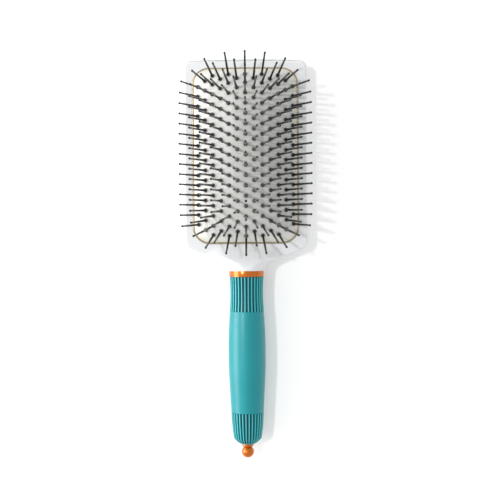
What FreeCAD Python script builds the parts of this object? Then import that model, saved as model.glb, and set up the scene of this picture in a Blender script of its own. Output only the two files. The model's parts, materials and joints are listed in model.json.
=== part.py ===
import FreeCAD, Part

import math
import os

import Sketcher
from FreeCAD import Placement, Rotation, Vector

# A cushioned paddle hair brush, lying on its back.
# Frame: the origin is on the flat back face, under the middle of the cushion.
# +Z is the way the pins point, +Y is the head's top edge, and the handle runs along -Y.

doc = FreeCAD.newDocument("PaddleBrush")
sheet = doc.addObject("Spreadsheet::Sheet", "Sizes")


class Size:
    """A number in millimetres, together with the sheet expression that it comes from."""

    def __init__(self, text, value):
        self.text = text
        self.value = value

    def joined(self, sign, other, value):
        return Size(f"({self.text} {sign} {other.text})", value)

    def __add__(self, other):
        other = plain(other)
        return self.joined("+", other, self.value + other.value)

    def __sub__(self, other):
        other = plain(other)
        return self.joined("-", other, self.value - other.value)

    def __mul__(self, other):
        other = plain(other)
        return self.joined("*", other, self.value * other.value)

    def __truediv__(self, other):
        other = plain(other)
        return self.joined("/", other, self.value / other.value)

    def __radd__(self, other):
        return plain(other) + self

    def __rsub__(self, other):
        return plain(other) - self

    def __neg__(self):
        return Size(f"(-1 * {self.text})", -self.value)


def plain(number):
    """The number as a Size, if it isn't one already."""
    if isinstance(number, Size):
        return number
    return Size(str(float(number)), float(number))


def leg(longest, other):
    """The third side of a right-angled triangle: how far a ball's centre is from its neck."""
    value = math.sqrt(longest.value ** 2 - other.value ** 2)
    return Size(f"sqrt({longest.text}^2 - {other.text}^2)", value)


def size(alias, value, meaning):
    """Writes one driving dimension in the sheet and returns it."""
    size.row += 1
    sheet.set(f"A{size.row}", meaning)
    sheet.set(f"B{size.row}", str(value))
    sheet.setAlias(f"B{size.row}", alias)
    return Size(f"Sizes.{alias}", float(value))


size.row = 0

# ---- the white head -------------------------------------------------------------------------
head_width = size("head_width", 82.2, "paddle, side to side")
head_top = size("head_top", 64.3, "cushion centre to the middle of the top edge")
head_bow = size("head_bow", 0.8, "how far the top edge bows outwards")
head_thickness = size("head_thickness", 15.0, "back face to the rim plane")
top_corner = size("top_corner", 4.2, "corner radius at the top of the paddle")
shoulder_drop = size("shoulder_drop", 61.2, "cushion centre to the shoulder corner")
shoulder_corner = size("shoulder_corner", 6.5, "corner radius at the shoulders")
shoulder_fall = size("shoulder_fall", 10.4, "how much further down the shoulders run to the neck")
shoulder_end = size("shoulder_end", 24.6, "width where the shoulders meet the neck")
front_round = size("front_round", 1.4, "rounding of the front edge")
back_round = size("back_round", 3.0, "rounding of the back edge")
back_wall = size("back_wall", 3.6, "wall behind the air chamber")

# ---- the neck and tang ----------------------------------------------------------------------
head_end = size("head_end", 76.7, "cushion centre to the end of the neck")
axis_height = size("axis_height", 12.4, "handle axis above the back face")
neck_radius = size("neck_radius", 11.3, "round end of the neck")
tang_radius = size("tang_radius", 7.45, "spigot that goes into the handle")
tang_length = size("tang_length", 21.3, "length of the spigot")
tang_root = size("tang_root", 5.0, "how far the spigot starts inside the neck")
tang_chamfer = size("tang_chamfer", 0.6, "chamfer on the spigot's end")
overcut = 1.0
# Each oval of the neck: how far it is before the neck's end, how much wider than the end,
# and how much of the swell above the rim plane it has lost.
neck_ovals = (
    (0, 0, 0), (1.5, 0.55, 0.04), (5.7, 4.2, 0.24), (9.7, 8.0, 0.56), (15.5, 11.2, 1.08),
)

# ---- the cushion ----------------------------------------------------------------------------
seam_width = size("seam_width", 69.8, "cushion seat, side to side")
seam_length = size("seam_length", 116.4, "cushion seat, top to bottom")
seam_corner = size("seam_corner", 11.0, "corner radius of the cushion seat")
crown_rise = size("crown_rise", 11.9, "cushion's highest point above the rim plane")
end_rise = size("end_rise", 1.4, "cushion's height above the rim plane at its two ends")
crown_power = size("crown_power", 7.6, "how squarely the crown runs out to the two ends")
rubber_wall = size("rubber_wall", 2.2, "rubber thickness")
vent_radius = size("vent_radius", 0.85, "air vent")
vent_drop = size("vent_drop", 30.6, "cushion centre to the vent")
ring_width = size("ring_width", 1.0, "retaining ring, width of its top")
ring_height = size("ring_height", 2.0, "retaining ring, height")
ring_proud = size("ring_proud", 0.2, "retaining ring above the rim plane")
ring_edge_share = 0.3
flange_thickness = size("flange_thickness", 1.2, "rubber flange under the ring")
ledge_width = size("ledge_width", 3.2, "ledge that the flange lies on")
seat_gap = size("seat_gap", 0.06, "clearance round the cushion and its ring")

# ---- the pins -------------------------------------------------------------------------------
column_pitch = size("column_pitch", 5.533, "pin columns, along the cushion's crown")
row_pitch = size("row_pitch", 6.785, "pin rows, along the cushion's crown")
pin_length = size("pin_length", 21.5, "rubber to the tip of a pin")
pin_foot_radius = size("pin_foot_radius", 0.7, "pin shaft at its base")
pin_top_radius = size("pin_top_radius", 0.58, "pin shaft under its tip")
tip_radius = size("tip_radius", 0.85, "ball tip")
collar_radius = size("collar_radius", 1.5, "round collar that seats on the rubber")
collar_height = size("collar_height", 2.1, "height of the collar")
collar_shoulder_out = 0.86
collar_shoulder_up = 0.62
side_margin = size("side_margin", 3.2, "cushion's edge to the nearest pins at its sides and corners")
end_margin = size("end_margin", 4.2, "cushion's edge to the nearest pins at its two ends")
row_fan = size("row_fan", 0.035, "how much closer the rows are at the outermost column")
stem_radius = size("stem_radius", 0.75, "pin stem through the rubber")
anchor_radius = size("anchor_radius", 1.55, "anchor disc behind the rubber")
anchor_thickness = size("anchor_thickness", 0.8, "thickness of the anchor disc")
stem_gap = size("stem_gap", 0.05, "clearance between a stem and its hole")
seating_gap = size("seating_gap", 0.16, "clearance over and under the rubber")

# ---- the handle -----------------------------------------------------------------------------
collar_band = size("collar_band", 3.8, "length of the ring at the neck")
band_radius = size("band_radius", 11.55, "ring at the neck")
band_bulge = size("band_bulge", 0.12, "how far the ring bows out")
upper_ribs = size("upper_ribs", 23.2, "length of the ribs by the neck")
smooth_grip = size("smooth_grip", 67.5, "length of the smooth grip")
lower_ribs = size("lower_ribs", 19.7, "length of the ribs by the end")
heel_start = size("heel_start", 17.2, "start of the lower ribs to where the end starts to close")
grip_end = size("grip_end", 1.3, "plain lip after the ribs")
grip_start_radius = size("grip_start_radius", 11.35, "grip beside the neck ring")
waist_radius = size("waist_radius", 10.85, "grip at its upper waist")
palm_start_radius = size("palm_start_radius", 11.4, "start of the smooth grip")
palm_radius = size("palm_radius", 12.35, "thickest part of the grip")
palm_end_radius = size("palm_end_radius", 10.8, "end of the smooth grip")
heel_radius = size("heel_radius", 9.25, "grip where its end starts to close")
lip_radius = size("lip_radius", 4.95, "grip at its very end")
palm_fall = size("palm_fall", 0.2, "how far the grip has thinned after its thickest part")
heel_bow = size("heel_bow", 0.3, "how far the lower ribs bow outwards")
end_bow = size("end_bow", 0.45, "how far the closing end bows outwards")
waist_share = 0.5
palm_share = 0.32
swell_share = 0.63
taper_share = 0.84
sleeve_wall = size("sleeve_wall", 1.3, "thickness of the soft sleeve")
bond_gap = size("bond_gap", 0.05, "glue line under the sleeve")
rib_count = 30
slot_width = size("slot_width", 1.15, "gap between two ribs")
slot_tail = size("slot_tail", 0.8, "gap between two ribs at the lower end")
socket_gap = size("socket_gap", 0.05, "clearance round the tang")
socket_floor_gap = size("socket_floor_gap", 0.2, "clearance past the tang's end")
web_thickness = size("web_thickness", 3.3, "wall that the screw pulls against")
pick_bore = size("pick_bore", 2.8, "bore radius for the pick")

# ---- the screw ------------------------------------------------------------------------------
screw_radius = size("screw_radius", 1.5, "screw thread, outside")
thread_depth = size("thread_depth", 0.35, "depth of the thread")
thread_pitch = size("thread_pitch", 1.25, "pitch of the thread")
screw_length = size("screw_length", 15.0, "screw under its head")
screw_head_radius = size("screw_head_radius", 2.5, "screw head")
screw_head_height = size("screw_head_height", 1.9, "height of the screw head")
driver_width = size("driver_width", 0.7, "width of the cross recess")
washer_radius = size("washer_radius", 2.7, "washer")
washer_thickness = size("washer_thickness", 0.7, "thickness of the washer")
screw_gap = size("screw_gap", 0.08, "clearance round the screw")
pilot_spare = size("pilot_spare", 1.5, "pilot hole beyond the screw's tip")
shank_length = size("shank_length", 3.6, "plain shank under the screw's head")
point_length = size("point_length", 1.4, "plain point of the screw")
crest_start = 0.3
crest_end = 0.42
crest_foot = 0.72
screw_dome_out = 0.7
screw_dome_drop = size("screw_dome_drop", 0.35, "fall of the screw head at its shoulder")
recess_reach = 0.6
recess_depth = 0.65

# ---- the pick -------------------------------------------------------------------------------
guide_radius = size("guide_radius", 2.95, "collar's stem in the handle")
guide_length = size("guide_length", 8.2, "length of the collar's stem")
guide_gap = size("guide_gap", 0.03, "clearance round the collar's stem")
guide_end_gap = size("guide_end_gap", 0.1, "clearance past the stem's end")
guide_flange = size("guide_flange", 3.95, "collar's flange on the handle's end")
guide_height = size("guide_height", 2.3, "height of the collar's flange")
guide_straight = 0.5
guide_flare = 0.8
guide_lip = size("guide_lip", 0.8, "wall of the collar's mouth round the plug")
plug_radius = size("plug_radius", 2.0, "plug of the knob")
plug_length = size("plug_length", 8.0, "length of the plug")
plug_gap = size("plug_gap", 0.05, "running clearance round the plug")
ball_radius = size("ball_radius", 4.1, "ball of the knob")
waist_step = size("waist_step", 0.75, "knob's waist beyond its plug, where it meets the collar")
waist_gap = size("waist_gap", 0.08, "clearance between the waist and the collar")
plug_chamfer = size("plug_chamfer", 0.25, "chamfer on the plug's end")
groove_gap = size("groove_gap", 0.06, "clearance beside the O-ring")
oring_clear = size("oring_clear", 0.02, "clearance round the O-ring")
oring_section = size("oring_section", 0.35, "section radius of the O-ring")
oring_depth = size("oring_depth", 4.2, "collar's mouth to the O-ring")
pick_radius = size("pick_radius", 1.1, "pick at its root")
pick_tip_radius = size("pick_tip_radius", 0.6, "pick's rounded tip")
pick_length = size("pick_length", 84.0, "pick from the collar's mouth to its tip")
pick_grip = size("pick_grip", 7.0, "length of pick held in the plug")


# ---- drawing helpers ------------------------------------------------------------------------
class Bend:
    """A point that the edge between its two neighbours curves through."""

    def __init__(self, across, along):
        self.place = (across, along)


def at(place):
    """A pair of sizes as a point in a sketch's plane."""
    return Vector(plain(place[0]).value, plain(place[1]).value, 0)


def new_body(label, height=None):
    """A body with its own name, lifted to a height if one is given."""
    body = doc.addObject("PartDesign::Body", label)
    body.Label = label
    if height is not None:
        body.setExpression("Placement.Base.z", height.text)
    return body


def sketch_on(body, name, plane, lift=None):
    """A sketch on one of the body's own origin planes, moved along the plane's normal."""
    drawing = body.newObject("Sketcher::SketchObject", name)
    support = [part for part in body.Origin.OriginFeatures if part.Role == plane][0]
    drawing.AttachmentSupport = [(support, "")]
    drawing.MapMode = "FlatFace"
    if lift is not None:
        drawing.setExpression("AttachmentOffset.Base.z", plain(lift).text)
    return drawing


def fix_point(drawing, shape, end, place):
    """Ties one point of a sketch to its two sizes, or to an axis where a size is nought."""
    rules = (("DistanceX", -2), ("DistanceY", -1))
    for (kind, axis), amount in zip(rules, place):
        amount = plain(amount)
        if amount.value == 0:
            drawing.addConstraint(Sketcher.Constraint("PointOnObject", shape, end, axis))
            continue
        rule = Sketcher.Constraint(kind, -1, 1, shape, end, amount.value)
        number = drawing.addConstraint(rule)
        drawing.setExpression(f"Constraints[{number}]", amount.text)


def arc_through(first, middle, last):
    """An anticlockwise arc through three points, and whether it starts at the last of them."""
    circle = Part.Arc(first, middle, last).toShape().Curve
    centre = Vector(circle.Center.x, circle.Center.y, 0)
    turn = (middle - first).cross(last - middle).z
    start, stop = (first, last) if turn > 0 else (last, first)
    angles = [math.atan2(point.y - centre.y, point.x - centre.x) for point in (start, stop)]
    ring = Part.Circle(centre, Vector(0, 0, 1), circle.Radius)
    return Part.ArcOfCircle(ring, angles[0], angles[1]), turn < 0


def outline(drawing, *path):
    """Draws one closed outline of straight edges, and of arcs where the path has a Bend."""
    corners = [item for item in path if not isinstance(item, Bend)]
    bends = {}
    passed = 0
    for item in path:
        if isinstance(item, Bend):
            bends[passed - 1] = item
        else:
            passed += 1
    edges = []
    for number, corner in enumerate(corners):
        first = at(corner)
        last = at(corners[(number + 1) % len(corners)])
        if number in bends:
            arc, reversed_arc = arc_through(first, at(bends[number].place), last)
            shape = drawing.addGeometry(arc)
            point = drawing.addGeometry(Part.Point(at(bends[number].place)), True)
            fix_point(drawing, point, 1, bends[number].place)
            drawing.addConstraint(Sketcher.Constraint("PointOnObject", point, 1, shape))
            edges.append((shape, 2, 1) if reversed_arc else (shape, 1, 2))
        else:
            edges.append((drawing.addGeometry(Part.LineSegment(first, last)), 1, 2))
    for number, (shape, start, end) in enumerate(edges):
        following, following_start, _ = edges[(number + 1) % len(edges)]
        meet = Sketcher.Constraint("Coincident", shape, end, following, following_start)
        drawing.addConstraint(meet)
        fix_point(drawing, shape, start, corners[number])


def rounded_rectangle(drawing, width, length, corner):
    """An outline centred on the sketch's origin, with four round corners."""
    side = width / 2
    end = length / 2
    cut = corner * (1 - math.sqrt(0.5))
    outline(
        drawing,
        (side - corner, end), Bend(side - cut, end - cut),
        (side, end - corner), (side, corner - end), Bend(side - cut, cut - end),
        (side - corner, -end), (corner - side, -end), Bend(cut - side, cut - end),
        (-side, corner - end), (-side, end - corner), Bend(cut - side, end - cut),
        (corner - side, end),
    )


def pad(body, drawing, length):
    """Pads a sketch upwards."""
    feature = body.newObject("PartDesign::Pad", f"{drawing.Name}Pad")
    feature.Profile = drawing
    feature.setExpression("Length", plain(length).text)
    return feature


def rounded_block(label, width, length, corner, bottom, height):
    """A block with round corners, from one height upwards."""
    body = new_body(label)
    drawing = sketch_on(body, f"{label}_plan", "XY_Plane", bottom)
    rounded_rectangle(drawing, width, length, corner)
    pad(body, drawing, height)
    return body


def turned(label, *path):
    """A piece turned about the handle's axis: the path gives places along Y and radii."""
    body = new_body(label, axis_height)
    drawing = sketch_on(body, f"{label}_profile", "YZ_Plane")
    outline(drawing, *path)
    turning = body.newObject("PartDesign::Revolution", f"{label}_turning")
    turning.Profile = drawing
    turning.ReferenceAxis = (drawing, ["H_Axis"])
    turning.Angle = 360.0
    return body


def edges_where(shape, test):
    """The names of a shape's edges that pass a test."""
    return [f"Edge{number + 1}" for number, edge in enumerate(shape.Edges) if test(edge)]


def round_edges(body, radius, test):
    """Rounds the edges of the body's last feature that pass a test."""
    doc.recompute()
    base = body.Tip
    feature = body.newObject("PartDesign::Fillet", f"{body.Name}Round{len(body.Group)}")
    feature.Base = (base, edges_where(base.Shape, test))
    feature.setExpression("Radius", radius.text)
    return feature


def fused(name, pieces):
    """Joins pieces into one."""
    feature = doc.addObject("Part::MultiFuse", name)
    feature.Shapes = pieces
    return feature


def cut_from(label, base, tool):
    """Cuts a tool out of a base."""
    feature = doc.addObject("Part::Cut", label)
    feature.Base = base
    feature.Tool = tool
    feature.Label = label
    return feature


# ---- head: a flat paddle with a round neck, an air chamber and a tang -----------------------
half_head = head_width / 2
side_top = head_top - head_bow
neck_join = shoulder_drop + shoulder_fall
tang_end = head_end + tang_length


def make_paddle():
    """The flat plate, with its corners and both its long edges rounded."""
    body = new_body("paddle")
    plan = sketch_on(body, "paddle_plan", "XY_Plane")
    outline(
        plan,
        (half_head, side_top), Bend(0, head_top),
        (-half_head, side_top), (-half_head, -shoulder_drop),
        (-(shoulder_end / 2), -neck_join), (shoulder_end / 2, -neck_join),
        (half_head, -shoulder_drop),
    )
    pad(body, plan, head_thickness)

    def upright_at(height):
        def test(edge):
            middle = edge.CenterOfMass
            upright = edge.BoundBox.ZLength > head_thickness.value / 2
            beside = abs(abs(middle.x) - half_head.value) < 0.01
            return upright and beside and abs(middle.y - height.value) < 0.01
        return test

    round_edges(body, top_corner, upright_at(side_top))
    round_edges(body, shoulder_corner, upright_at(-shoulder_drop))
    front = head_thickness.value - 0.001
    round_edges(body, front_round, lambda edge: edge.BoundBox.ZMin > front)
    round_edges(body, back_round, lambda edge: edge.BoundBox.ZMax < 0.001)
    return body


def make_neck():
    """The neck: a loft from a low wide oval inside the paddle to the round end."""
    low = axis_height - neck_radius
    high = axis_height + neck_radius
    swell = high - head_thickness
    ovals = []
    for number, (before, wider, lost) in enumerate(neck_ovals):
        down = head_end - before
        half_width = neck_radius + wider
        top = high - swell * lost
        oval = doc.addObject("Part::Ellipse", f"neck_oval_{number}")
        oval.setExpression("MajorRadius", half_width.text)
        oval.setExpression("MinorRadius", ((top - low) / 2).text)
        oval.Placement.Rotation = Rotation(Vector(1, 0, 0), 90)
        oval.setExpression("Placement.Base.y", (-down).text)
        oval.setExpression("Placement.Base.z", ((top + low) / 2).text)
        ovals.append(oval)
    neck = doc.addObject("Part::Loft", "neck")
    neck.Sections = ovals
    neck.Solid = True
    neck.Ruled = False
    return neck


ledge_level = head_thickness + ring_proud - ring_height - flange_thickness
seat_width = seam_width + ring_width
seat_length = seam_length + ring_width
seat_corner = seam_corner + ring_width / 2
chamber_width = seat_width - ledge_width * 2
chamber_length = seat_length - ledge_width * 2
chamber_corner = seat_corner - ledge_width


def make_head():
    paddle = make_paddle()
    neck = make_neck()
    tang = turned(
        "tang",
        (tang_root - head_end, 0), (-tang_end, 0), (-tang_end, tang_radius - tang_chamfer),
        (-(tang_end - tang_chamfer), tang_radius), (tang_root - head_end, tang_radius),
    )
    seat = rounded_block("cushion_seat", seat_width, seat_length, seat_corner,
                         ledge_level, head_thickness)
    chamber = rounded_block("air_chamber", chamber_width, chamber_length, chamber_corner,
                            back_wall, head_thickness)
    pilot_end = tang_end - screw_length + web_thickness - pilot_spare
    hole_radius = screw_radius + screw_gap
    pilot = turned(
        "pilot_hole",
        (-pilot_end, 0), (-(tang_end + overcut), 0),
        (-(tang_end + overcut), hole_radius), (-pilot_end, hole_radius),
    )
    solid = fused("head_solid", [paddle, neck, tang])
    hollow = fused("head_hollow", [seat, chamber, pilot])
    return cut_from("head_body", solid, hollow)


# ---- retaining ring: the thin gold band round the cushion -----------------------------------
def make_retaining_ring():
    body = new_body("retaining_ring")
    floor = ledge_level + flange_thickness
    plan = sketch_on(body, "ring_plan", "XY_Plane", floor)
    rounded_rectangle(plan, seat_width - seat_gap * 2, seat_length - seat_gap * 2,
                      seat_corner - seat_gap)
    rounded_rectangle(plan, seat_width - ring_width * 2, seat_length - ring_width * 2,
                      seat_corner - ring_width)
    pad(body, plan, ring_height)
    doc.recompute()
    top = floor.value + ring_height.value - 0.001
    edge_round = ring_width * ring_edge_share
    round_edges(body, edge_round, lambda edge: edge.BoundBox.ZMin > top)
    return body


# ---- cushion: a domed rubber skin over the air chamber --------------------------------------
def crown(along):
    """The cushion's height above the rim plane on its middle line."""
    share = min(abs(along) / (seam_length.value / 2), 1.0)
    fall = crown_rise.value - end_rise.value
    return crown_rise.value - fall * share ** crown_power.value


def dome(across, along):
    """The cushion's height above the rim plane: an arc from side to side at every place."""
    half = seam_width.value / 2
    rise = crown(along)
    radius = (half * half + rise * rise) / (2 * rise)
    return math.sqrt(radius * radius - across * across) - (radius - rise)


def dome_face(drop):
    """The cushion's skin as one smooth face, lowered by a drop."""
    half = seam_width.value / 2
    end = seam_length.value / 2
    level = head_thickness.value - drop
    steps_across = 16
    steps_along = 40
    rows = []
    for step in range(steps_along + 1):
        along = end * math.sin(math.pi * (step / steps_along - 0.5))
        row = []
        for place in range(steps_across + 1):
            across = half * math.sin(math.pi * (place / steps_across - 0.5))
            row.append(Vector(across, along, level + dome(across, along)))
        rows.append(row)
    skin = Part.BSplineSurface()
    skin.interpolate(rows)
    return skin.toShape()


def below(face, block):
    """The part of a block that lies under a face."""
    return face.extrude(Vector(0, 0, -2 * head_thickness.value)).common(block)


def block(width, length, corner, low, high):
    """An upright block with round corners, between two heights."""
    side = width / 2 - corner
    end = length / 2 - corner
    turns = [(side, end, 0), (-side, end, 90), (-side, -end, 180), (side, -end, 270)]
    edges = []
    for across, along, angle in turns:
        centre = Vector(across, along, low)
        ends = [centre + Vector(math.cos(math.radians(a)), math.sin(math.radians(a)), 0) * corner
                for a in (angle, angle + 45, angle + 90)]
        if edges:
            edges.append(Part.makeLine(edges[-1].Vertexes[-1].Point, ends[0]))
        edges.append(Part.Arc(*ends).toShape())
    edges.append(Part.makeLine(edges[-1].Vertexes[-1].Point, edges[0].Vertexes[0].Point))
    return Part.Face(Part.Wire(edges)).extrude(Vector(0, 0, high - low))


def on_cushion(across, along):
    """Whether a pin there keeps clear of the cushion's sides, ends and round corners."""
    side = seam_width.value / 2
    end = seam_length.value / 2
    corner = seam_corner.value
    past_x = max(abs(across) - (side - corner), 0)
    past_y = max(abs(along) - (end - corner), 0)
    in_corner = math.hypot(past_x, past_y) <= corner - side_margin.value
    return in_corner and abs(along) <= end - end_margin.value


def pin_places():
    """Every pin's foot on the rubber and the direction that it points in."""
    half = seam_width.value / 2
    rise = crown_rise.value
    radius = (half * half + rise * rise) / (2 * rise)
    reach = half - side_margin.value
    samples = 400
    walk = [(0.0, 0.0)]
    for step in range(1, samples):
        along = seam_length.value / 2 * step / samples
        last_along, gone = walk[-1]
        gone += math.hypot(along - last_along, crown(along) - crown(last_along))
        walk.append((along, gone))

    def along_crown(gone):
        for (near, near_gone), (far, far_gone) in zip(walk, walk[1:]):
            if far_gone >= gone:
                return near + (far - near) * (gone - near_gone) / (far_gone - near_gone)
        return walk[-1][0]

    last_column = 0
    while radius * math.sin((last_column + 1) * column_pitch.value / radius) < reach:
        last_column += 1
    places = []
    for column in range(-last_column, last_column + 1):
        across = radius * math.sin(column * column_pitch.value / radius)
        closer = row_pitch.value * (1 - row_fan.value * (column / last_column) ** 2)
        first = column % 2 / 2
        last = int(walk[-1][1] / closer - first)
        steps = [first + step for step in range(last + 1)]
        rows = sorted({row for step in steps for row in (step, -step)})
        for row in rows:
            along = math.copysign(along_crown(abs(row) * closer), row)
            if not on_cushion(across, along):
                continue
            small = 0.001
            lean_x = (dome(across + small, along) - dome(across - small, along)) / (2 * small)
            lean_y = (dome(across, along + small) - dome(across, along - small)) / (2 * small)
            foot = Vector(across, along, head_thickness.value + dome(across, along))
            places.append((foot, Vector(-lean_x, -lean_y, 1).normalize()))
    return places


def make_cushion(places):
    """The rubber skin with its flange, the pin holes and the vent."""
    skin_width = seat_width.value - 2 * ring_width.value - 2 * seat_gap.value
    skin_length = seat_length.value - 2 * ring_width.value - 2 * seat_gap.value
    skin_corner = seat_corner.value - ring_width.value - seat_gap.value
    flange_width = seat_width.value - 2 * seat_gap.value
    flange_length = seat_length.value - 2 * seat_gap.value
    wall = rubber_wall.value * 0.7
    low = ledge_level.value
    top = head_thickness.value + crown_rise.value + 1
    outer = below(dome_face(0), block(skin_width, skin_length, skin_corner, low, top))
    flange = block(flange_width, flange_length, seat_corner.value - seat_gap.value,
                   low, low + flange_thickness.value)
    inner_block = block(skin_width - 2 * wall, skin_length - 2 * wall, skin_corner - wall,
                        low - 1, top)
    inner = below(dome_face(rubber_wall.value), inner_block)
    rubber = outer.fuse(flange).cut(inner)
    holes = []
    for foot, way in places:
        start = foot - way * (2 * rubber_wall.value)
        hole = Part.makeCylinder(stem_radius.value + stem_gap.value, 4 * rubber_wall.value,
                                 start, way)
        holes.append(hole)
    vent_foot = Vector(0, -vent_drop.value, head_thickness.value)
    holes.append(Part.makeCylinder(vent_radius.value, 2 * crown_rise.value, vent_foot))
    rubber = rubber.cut(holes)
    cushion = doc.addObject("Part::Feature", "cushion_pad")
    cushion.Label = "cushion_pad"
    cushion.Shape = rubber.Solids[0]
    cushion.Placement = Placement()
    return cushion


# ---- pins: one turned pin, copied to every place on the cushion -----------------------------
pin_zones = ("rim_pins", "edge_pins", "border_pins", "outer_pins",
             "shoulder_pins", "middle_pins", "inner_pins", "crown_pins")


def make_pin():
    """One pin on the Z axis, with its foot at nought: anchor, stem, collar, shaft, ball."""
    body = new_body("pin_master")
    profile = sketch_on(body, "pin_profile", "XZ_Plane")
    anchor_top = -(rubber_wall + seating_gap)
    anchor_foot = anchor_top - anchor_thickness
    ball_centre = pin_length - tip_radius
    ball_start = ball_centre - leg(tip_radius, pin_top_radius)
    outline(
        profile,
        (0, anchor_foot), (anchor_radius, anchor_foot), (anchor_radius, anchor_top),
        (stem_radius, anchor_top), (stem_radius, seating_gap),
        (collar_radius, seating_gap), Bend(collar_radius * collar_shoulder_out,
                                           collar_height * collar_shoulder_up),
        (pin_foot_radius, collar_height), (pin_top_radius, ball_start),
        Bend(tip_radius, ball_centre), (0, pin_length),
    )
    turning = body.newObject("PartDesign::Revolution", "pin_turning")
    turning.Profile = profile
    turning.ReferenceAxis = (profile, ["V_Axis"])
    turning.Angle = 360.0
    return body


def make_pins(places):
    """The pins in zones of equal cushion height, since each zone sinks by its own amount."""
    master = make_pin()
    doc.recompute()
    zones = {name: [] for name in pin_zones}
    lowest = min(foot.z for foot, _ in places)
    highest = max(foot.z for foot, _ in places)
    for foot, way in places:
        share = (foot.z - lowest) / (highest - lowest)
        name = pin_zones[min(int(share * len(pin_zones)), len(pin_zones) - 1)]
        pin = master.Shape.copy()
        pin.Placement = Placement(foot, Rotation(Vector(0, 0, 1), way))
        zones[name].append((pin, foot))
    features = []
    for name, pins in zones.items():
        zone = doc.addObject("Part::Feature", name)
        zone.Label = name
        zone.Shape = Part.makeCompound([pin for pin, _ in pins])
        features.append(zone)
        mean = sum(foot.z - head_thickness.value for _, foot in pins) / len(pins)
        print(name, len(pins), "pins, mean height", round(mean, 3))
    return features


# ---- handle ---------------------------------------------------------------------------------
grip_start = head_end + collar_band
ribs_end = grip_start + upper_ribs
palm_end = ribs_end + smooth_grip
heel = palm_end + heel_start
slots_end = palm_end + lower_ribs
handle_end = slots_end + grip_end


def grip_path(inset):
    """The grip's outline from the neck to its end, moved inwards by an inset."""
    waist = grip_start + upper_ribs * waist_share
    palm = ribs_end + smooth_grip * palm_share
    swell_end = ribs_end + smooth_grip * swell_share
    taper = ribs_end + smooth_grip * taper_share
    return (
        (-grip_start, grip_start_radius - inset), Bend(-waist, waist_radius - inset),
        (-ribs_end, palm_start_radius - inset), Bend(-palm, palm_radius - inset),
        (-swell_end, palm_radius - palm_fall - inset),
        Bend(-taper, (palm_radius + palm_end_radius) / 2 - palm_fall - inset),
        (-palm_end, palm_end_radius - inset),
        Bend(-(palm_end + heel_start / 2), (palm_end_radius + heel_radius) / 2 + heel_bow - inset),
        (-heel, heel_radius - inset),
        Bend(-(heel + handle_end) / 2, (heel_radius + lip_radius) / 2 + end_bow - inset),
        (-handle_end, lip_radius - inset),
    )


def make_neck_ring():
    bulge = band_radius + band_bulge
    hole = tang_radius + socket_gap
    return turned(
        "neck_ring",
        (-head_end, hole), (-head_end, band_radius),
        Bend(-(head_end + collar_band / 2), bulge), (-grip_start, band_radius),
        (-grip_start, hole),
    )


socket_end = tang_end + socket_floor_gap
web_end = socket_end + web_thickness
counterbore = handle_end - guide_length
guide_bore = guide_radius + guide_gap
bore_step = counterbore - guide_end_gap


def make_handle_core():
    """The hard core: a socket for the tang, a web for the screw and the bore for the pick."""
    inset = sleeve_wall + bond_gap
    socket = tang_radius + socket_gap
    screw_hole = screw_radius + screw_gap
    return turned(
        "handle_core",
        *grip_path(inset),
        (-handle_end, guide_bore), (-bore_step, guide_bore),
        (-bore_step, pick_bore), (-web_end, pick_bore),
        (-web_end, screw_hole), (-socket_end, screw_hole),
        (-socket_end, socket), (-grip_start, socket),
    )


def pattern_round(body, feature, name):
    """Repeats a cut once for every rib, about the handle's axis."""
    doc.recompute()
    pattern = body.newObject("PartDesign::PolarPattern", name)
    pattern.Originals = [feature]
    axis = [part for part in body.Origin.OriginFeatures if part.Role == "Y_Axis"][0]
    pattern.Axis = (axis, [""])
    pattern.Angle = 360.0
    pattern.Occurrences = rib_count
    body.Tip = pattern
    doc.recompute()
    return pattern


def cut_slots(body, name, path):
    """Cuts a ring of slots through the sleeve, from under it outwards."""
    doc.recompute()
    before = body.Shape.Volume
    drawing = sketch_on(body, f"{name}_plan", "XY_Plane", heel_radius / 4)
    outline(drawing, *path)
    slot = body.newObject("PartDesign::Pocket", name)
    slot.Profile = drawing
    slot.Reversed = True
    slot.setExpression("Length", (palm_radius * 2).text)
    pattern_round(body, slot, f"{name}_ring")
    if body.Shape.Volume > before - 1:
        raise RuntimeError(f"{name} cuts nothing")


def make_grip_sleeve():
    """The soft sleeve, slotted into ribs at both ends so that the dark core shows."""
    inner = grip_path(sleeve_wall)
    body = turned("grip_sleeve", *grip_path(plain(0)), *reversed(inner))
    half = slot_width / 2
    tail = slot_tail / 2
    cut_slots(body, "upper_slots", (
        (half, overcut - grip_start), (half, half - ribs_end), Bend(0, -ribs_end),
        (-half, half - ribs_end), (-half, overcut - grip_start),
    ))
    cut_slots(body, "lower_slots", (
        (half, -(palm_end + half)), (tail, -(slots_end - tail)), Bend(0, -slots_end),
        (-tail, -(slots_end - tail)), (-half, -(palm_end + half)), Bend(0, -palm_end),
    ))
    return body


# ---- screw and washer -----------------------------------------------------------------------
head_seat = web_end + washer_thickness


def make_washer():
    hole = screw_radius + screw_gap
    return turned(
        "screw_washer",
        (-web_end, hole), (-web_end, washer_radius),
        (-head_seat, washer_radius), (-head_seat, hole),
    )


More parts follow.
